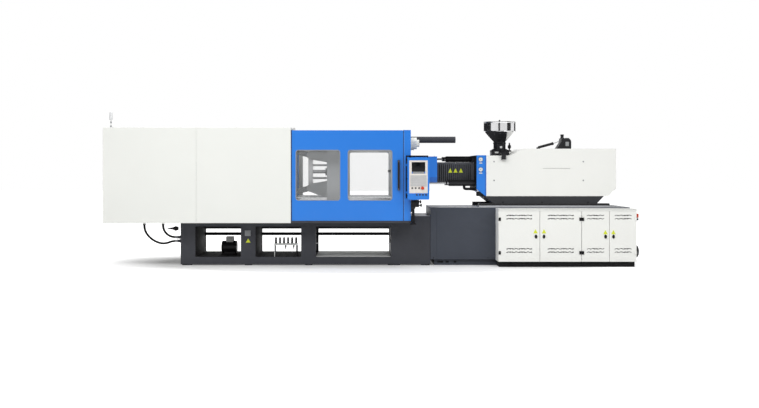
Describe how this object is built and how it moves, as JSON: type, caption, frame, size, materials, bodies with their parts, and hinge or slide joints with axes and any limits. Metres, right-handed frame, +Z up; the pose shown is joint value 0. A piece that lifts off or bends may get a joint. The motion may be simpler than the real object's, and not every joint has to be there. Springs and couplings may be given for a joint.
{
  "type": "injection moulding machine",
  "caption": "Horizontal toggle-clamp injection moulding machine with sliding guard doors, hopper, screw unit and cabinet.",
  "frame": {"origin": "middle of the footprint on the floor", "axes": "+X towards the injection unit, +Y to the back, +Z up"},
  "size_m": [8.2714, 2.066, 2.384],
  "materials": {
    "frame_dark": "satin dark grey paint",
    "zinc_sheet": "zinc coated sheet",
    "platen_grey": "light grey machine paint on cast iron",
    "steel": "machined",
    "chromed_steel": "ground and chromed",
    "cast_link": "cast and machined",
    "cover_white": "satin powder coat",
    "cabinet_white": "satin powder coat",
    "lamp_clear": "clear lens on a pole",
    "guard_blue": "satin blue powder coat",
    "pane_clear": "clear plastic sheet",
    "black_plastic": "moulded",
    "black_metal": "black paint",
    "red_plastic": "moulded",
    "polished_steel": "polished sheet",
    "hose_rubber": "rubber hose"
  },
  "bodies": {
    "machine": {"clamp_base_frame": "frame_dark", "discharge_tray": "zinc_sheet", "fixed_platen": "platen_grey", "tailstock_platen": "platen_grey", "tie_bars": "chromed_steel", "tie_bar_nuts": "steel", "clamp_cylinder": "frame_dark", "safety_bar_sleeve": "frame_dark", "clamp_end_cover": "cover_white", "toggle_cover": "cover_white", "signal_lamp": "lamp_clear", "door_tracks": "frame_dark", "fixed_guards": "guard_blue", "hmi_bracket": "black_metal", "injection_base": "frame_dark", "injection_rails": "steel", "cabinet_shell": "cabinet_white", "electrical_panel": "zinc_sheet", "fan_cowl": "black_plastic", "traverse_rods": "chromed_steel", "pump_motor": "black_metal", "water_manifold": "zinc_sheet", "hose_long": "hose_rubber", "hose_short": "hose_rubber"},
    "clamp_platen": {"moving_platen": "platen_grey", "safety_bar": "chromed_steel"},
    "ejector": {"ejector_plate": "steel"},
    "crosshead": {"crosshead": "steel"},
    "upper_rear_link": {"rear_link_upper": "cast_link"},
    "lower_rear_link": {"rear_link_lower": "cast_link"},
    "upper_front_link": {"front_link_upper": "cast_link"},
    "lower_front_link": {"front_link_lower": "cast_link"},
    "upper_short_link": {"short_link_upper": "cast_link"},
    "lower_short_link": {"short_link_lower": "cast_link"},
    "front_door": {"front_door": "guard_blue", "front_door_panes": "pane_clear", "front_door_handle": "black_plastic"},
    "rear_door": {"rear_door": "guard_blue", "rear_door_panes": "pane_clear"},
    "nozzle_guard": {"nozzle_guard": "guard_blue"},
    "operator_panel": {"hmi_housing": "guard_blue"},
    "emergency_stop": {"emergency_stop": "red_plastic"},
    "start_button": {"start_button": "black_plastic"},
    "reset_button": {"reset_button": "black_plastic"},
    "motor_button": {"motor_button": "black_plastic"},
    "carriage": {"carriage_frame": "frame_dark", "carriage_front_panel": "guard_blue", "carriage_cover": "cabinet_white", "traverse_cylinders": "black_metal", "barrel": "steel", "barrel_heat_cover": "black_metal", "hopper": "polished_steel"},
    "screw_ram": {"screw_drive": "black_metal"},
    "screw": {"screw": "steel"},
    "hopper_lid": {"hopper_lid": "polished_steel"},
    "cabinet_door_1": {"cabinet_door_1": "cabinet_white"},
    "cabinet_door_2": {"cabinet_door_2": "cabinet_white"},
    "cabinet_door_3": {"cabinet_door_3": "cabinet_white"},
    "cabinet_door_4": {"cabinet_door_4": "cabinet_white"},
    "main_switch": {"main_switch": "red_plastic"}
  },
  "joints": [
    {"name": "platen_slide", "type": "slide", "parent": "machine", "child": "clamp_platen", "axis": [-1, 0, 0], "range_m": [0, 0.65649]},
    {"name": "crosshead_slide", "type": "slide", "parent": "machine", "child": "crosshead", "axis": [-1, 0, 0], "range_m": [0, 0.88142]},
    {"name": "upper_rear_link_turn", "type": "hinge", "parent": "machine", "child": "upper_rear_link", "pos_m": [-1.98705, 0.083, 1.988], "axis": [0, 1, 0], "range_deg": [0, 105.71]},
    {"name": "lower_rear_link_turn", "type": "hinge", "parent": "machine", "child": "lower_rear_link", "pos_m": [-1.98705, 0.083, 0.948], "axis": [0, -1, 0], "range_deg": [0, 105.71]},
    {"name": "upper_front_link_turn", "type": "hinge", "parent": "clamp_platen", "child": "upper_front_link", "pos_m": [-0.96975, 0.083, 1.728], "axis": [0, -1, 0], "range_deg": [0, 26.87]},
    {"name": "lower_front_link_turn", "type": "hinge", "parent": "clamp_platen", "child": "lower_front_link", "pos_m": [-0.96975, 0.083, 1.208], "axis": [0, 1, 0], "range_deg": [0, 26.87]},
    {"name": "upper_short_link_turn", "type": "hinge", "parent": "crosshead", "child": "upper_short_link", "pos_m": [-1.56646, 0.083, 1.618], "axis": [0, 1, 0], "range_deg": [0, 93.16]},
    {"name": "lower_short_link_turn", "type": "hinge", "parent": "crosshead", "child": "lower_short_link", "pos_m": [-1.56646, 0.083, 1.318], "axis": [0, -1, 0], "range_deg": [0, 93.16]},
    {"name": "ejector_slide", "type": "slide", "parent": "clamp_platen", "child": "ejector", "axis": [1, 0, 0], "range_m": [0, 0.15]},
    {"name": "front_door_slide", "type": "slide", "parent": "machine", "child": "front_door", "axis": [-1, 0, 0], "range_m": [0, 1.4]},
    {"name": "rear_door_slide", "type": "slide", "parent": "machine", "child": "rear_door", "axis": [-1, 0, 0], "range_m": [0, 1.4]},
    {"name": "nozzle_guard_hinge", "type": "hinge", "parent": "machine", "child": "nozzle_guard", "pos_m": [0.62625, -0.301, 1.468], "axis": [0, 0, -1], "range_deg": [0, 90]},
    {"name": "panel_swivel", "type": "hinge", "parent": "machine", "child": "operator_panel", "pos_m": [0.63025, -0.902, 1.042], "axis": [0, 0, 1], "range_deg": [-25, 60]},
    {"name": "emergency_stop_press", "type": "slide", "parent": "operator_panel", "child": "emergency_stop", "axis": [0, 1, 0], "range_m": [0, 0.005], "stiffness_N_per_m": 400},
    {"name": "start_button_press", "type": "slide", "parent": "operator_panel", "child": "start_button", "axis": [0, 1, 0], "range_m": [0, 0.004], "stiffness_N_per_m": 300},
    {"name": "reset_button_press", "type": "slide", "parent": "operator_panel", "child": "reset_button", "axis": [0, 1, 0], "range_m": [0, 0.004], "stiffness_N_per_m": 300},
    {"name": "motor_button_press", "type": "slide", "parent": "operator_panel", "child": "motor_button", "axis": [0, 1, 0], "range_m": [0, 0.004], "stiffness_N_per_m": 300},
    {"name": "carriage_slide", "type": "slide", "parent": "machine", "child": "carriage", "axis": [1, 0, 0], "range_m": [-0.225, 0.19]},
    {"name": "ram_slide", "type": "slide", "parent": "carriage", "child": "screw_ram", "axis": [1, 0, 0], "range_m": [0, 0.3]},
    {"name": "screw_turn", "type": "hinge", "parent": "screw_ram", "child": "screw", "pos_m": [2.98925, 0.083, 1.468], "axis": [1, 0, 0], "continuous": true},
    {"name": "hopper_lid_hinge", "type": "hinge", "parent": "carriage", "child": "hopper_lid", "pos_m": [2.07925, 0.35, 2.261], "axis": [-1, 0, 0], "range_deg": [0, 95]},
    {"name": "cabinet_door_1_hinge", "type": "hinge", "parent": "machine", "child": "cabinet_door_1", "pos_m": [1.96075, -0.87, 0.085], "axis": [0, 0, -1], "range_deg": [0, 105]},
    {"name": "cabinet_door_2_hinge", "type": "hinge", "parent": "machine", "child": "cabinet_door_2", "pos_m": [3.20075, -0.87, 0.085], "axis": [0, 0, 1], "range_deg": [0, 85]},
    {"name": "cabinet_door_3_hinge", "type": "hinge", "parent": "machine", "child": "cabinet_door_3", "pos_m": [3.23875, -0.87, 0.085], "axis": [0, 0, -1], "range_deg": [0, 85]},
    {"name": "cabinet_door_4_hinge", "type": "hinge", "parent": "machine", "child": "cabinet_door_4", "pos_m": [4.04775, -0.87, 0.085], "axis": [0, 0, 1], "range_deg": [0, 105]},
    {"name": "main_switch_turn", "type": "hinge", "parent": "machine", "child": "main_switch", "pos_m": [4.06675, -0.7247, 0.785], "axis": [1, 0, 0], "range_deg": [-90, 0]}
  ],
  "couplings": [
    {"joint": "crosshead_slide", "follows": "platen_slide", "ratio": 1.3419},
    {"joint": "upper_rear_link_turn", "follows": "platen_slide", "rad_per_m": 2.8091},
    {"joint": "lower_rear_link_turn", "follows": "platen_slide", "rad_per_m": 2.8091},
    {"joint": "upper_front_link_turn", "follows": "platen_slide", "rad_per_m": 0.71308},
    {"joint": "lower_front_link_turn", "follows": "platen_slide", "rad_per_m": 0.71308},
    {"joint": "upper_short_link_turn", "follows": "platen_slide", "rad_per_m": 2.4753},
    {"joint": "lower_short_link_turn", "follows": "platen_slide", "rad_per_m": 2.4753}
  ]
}
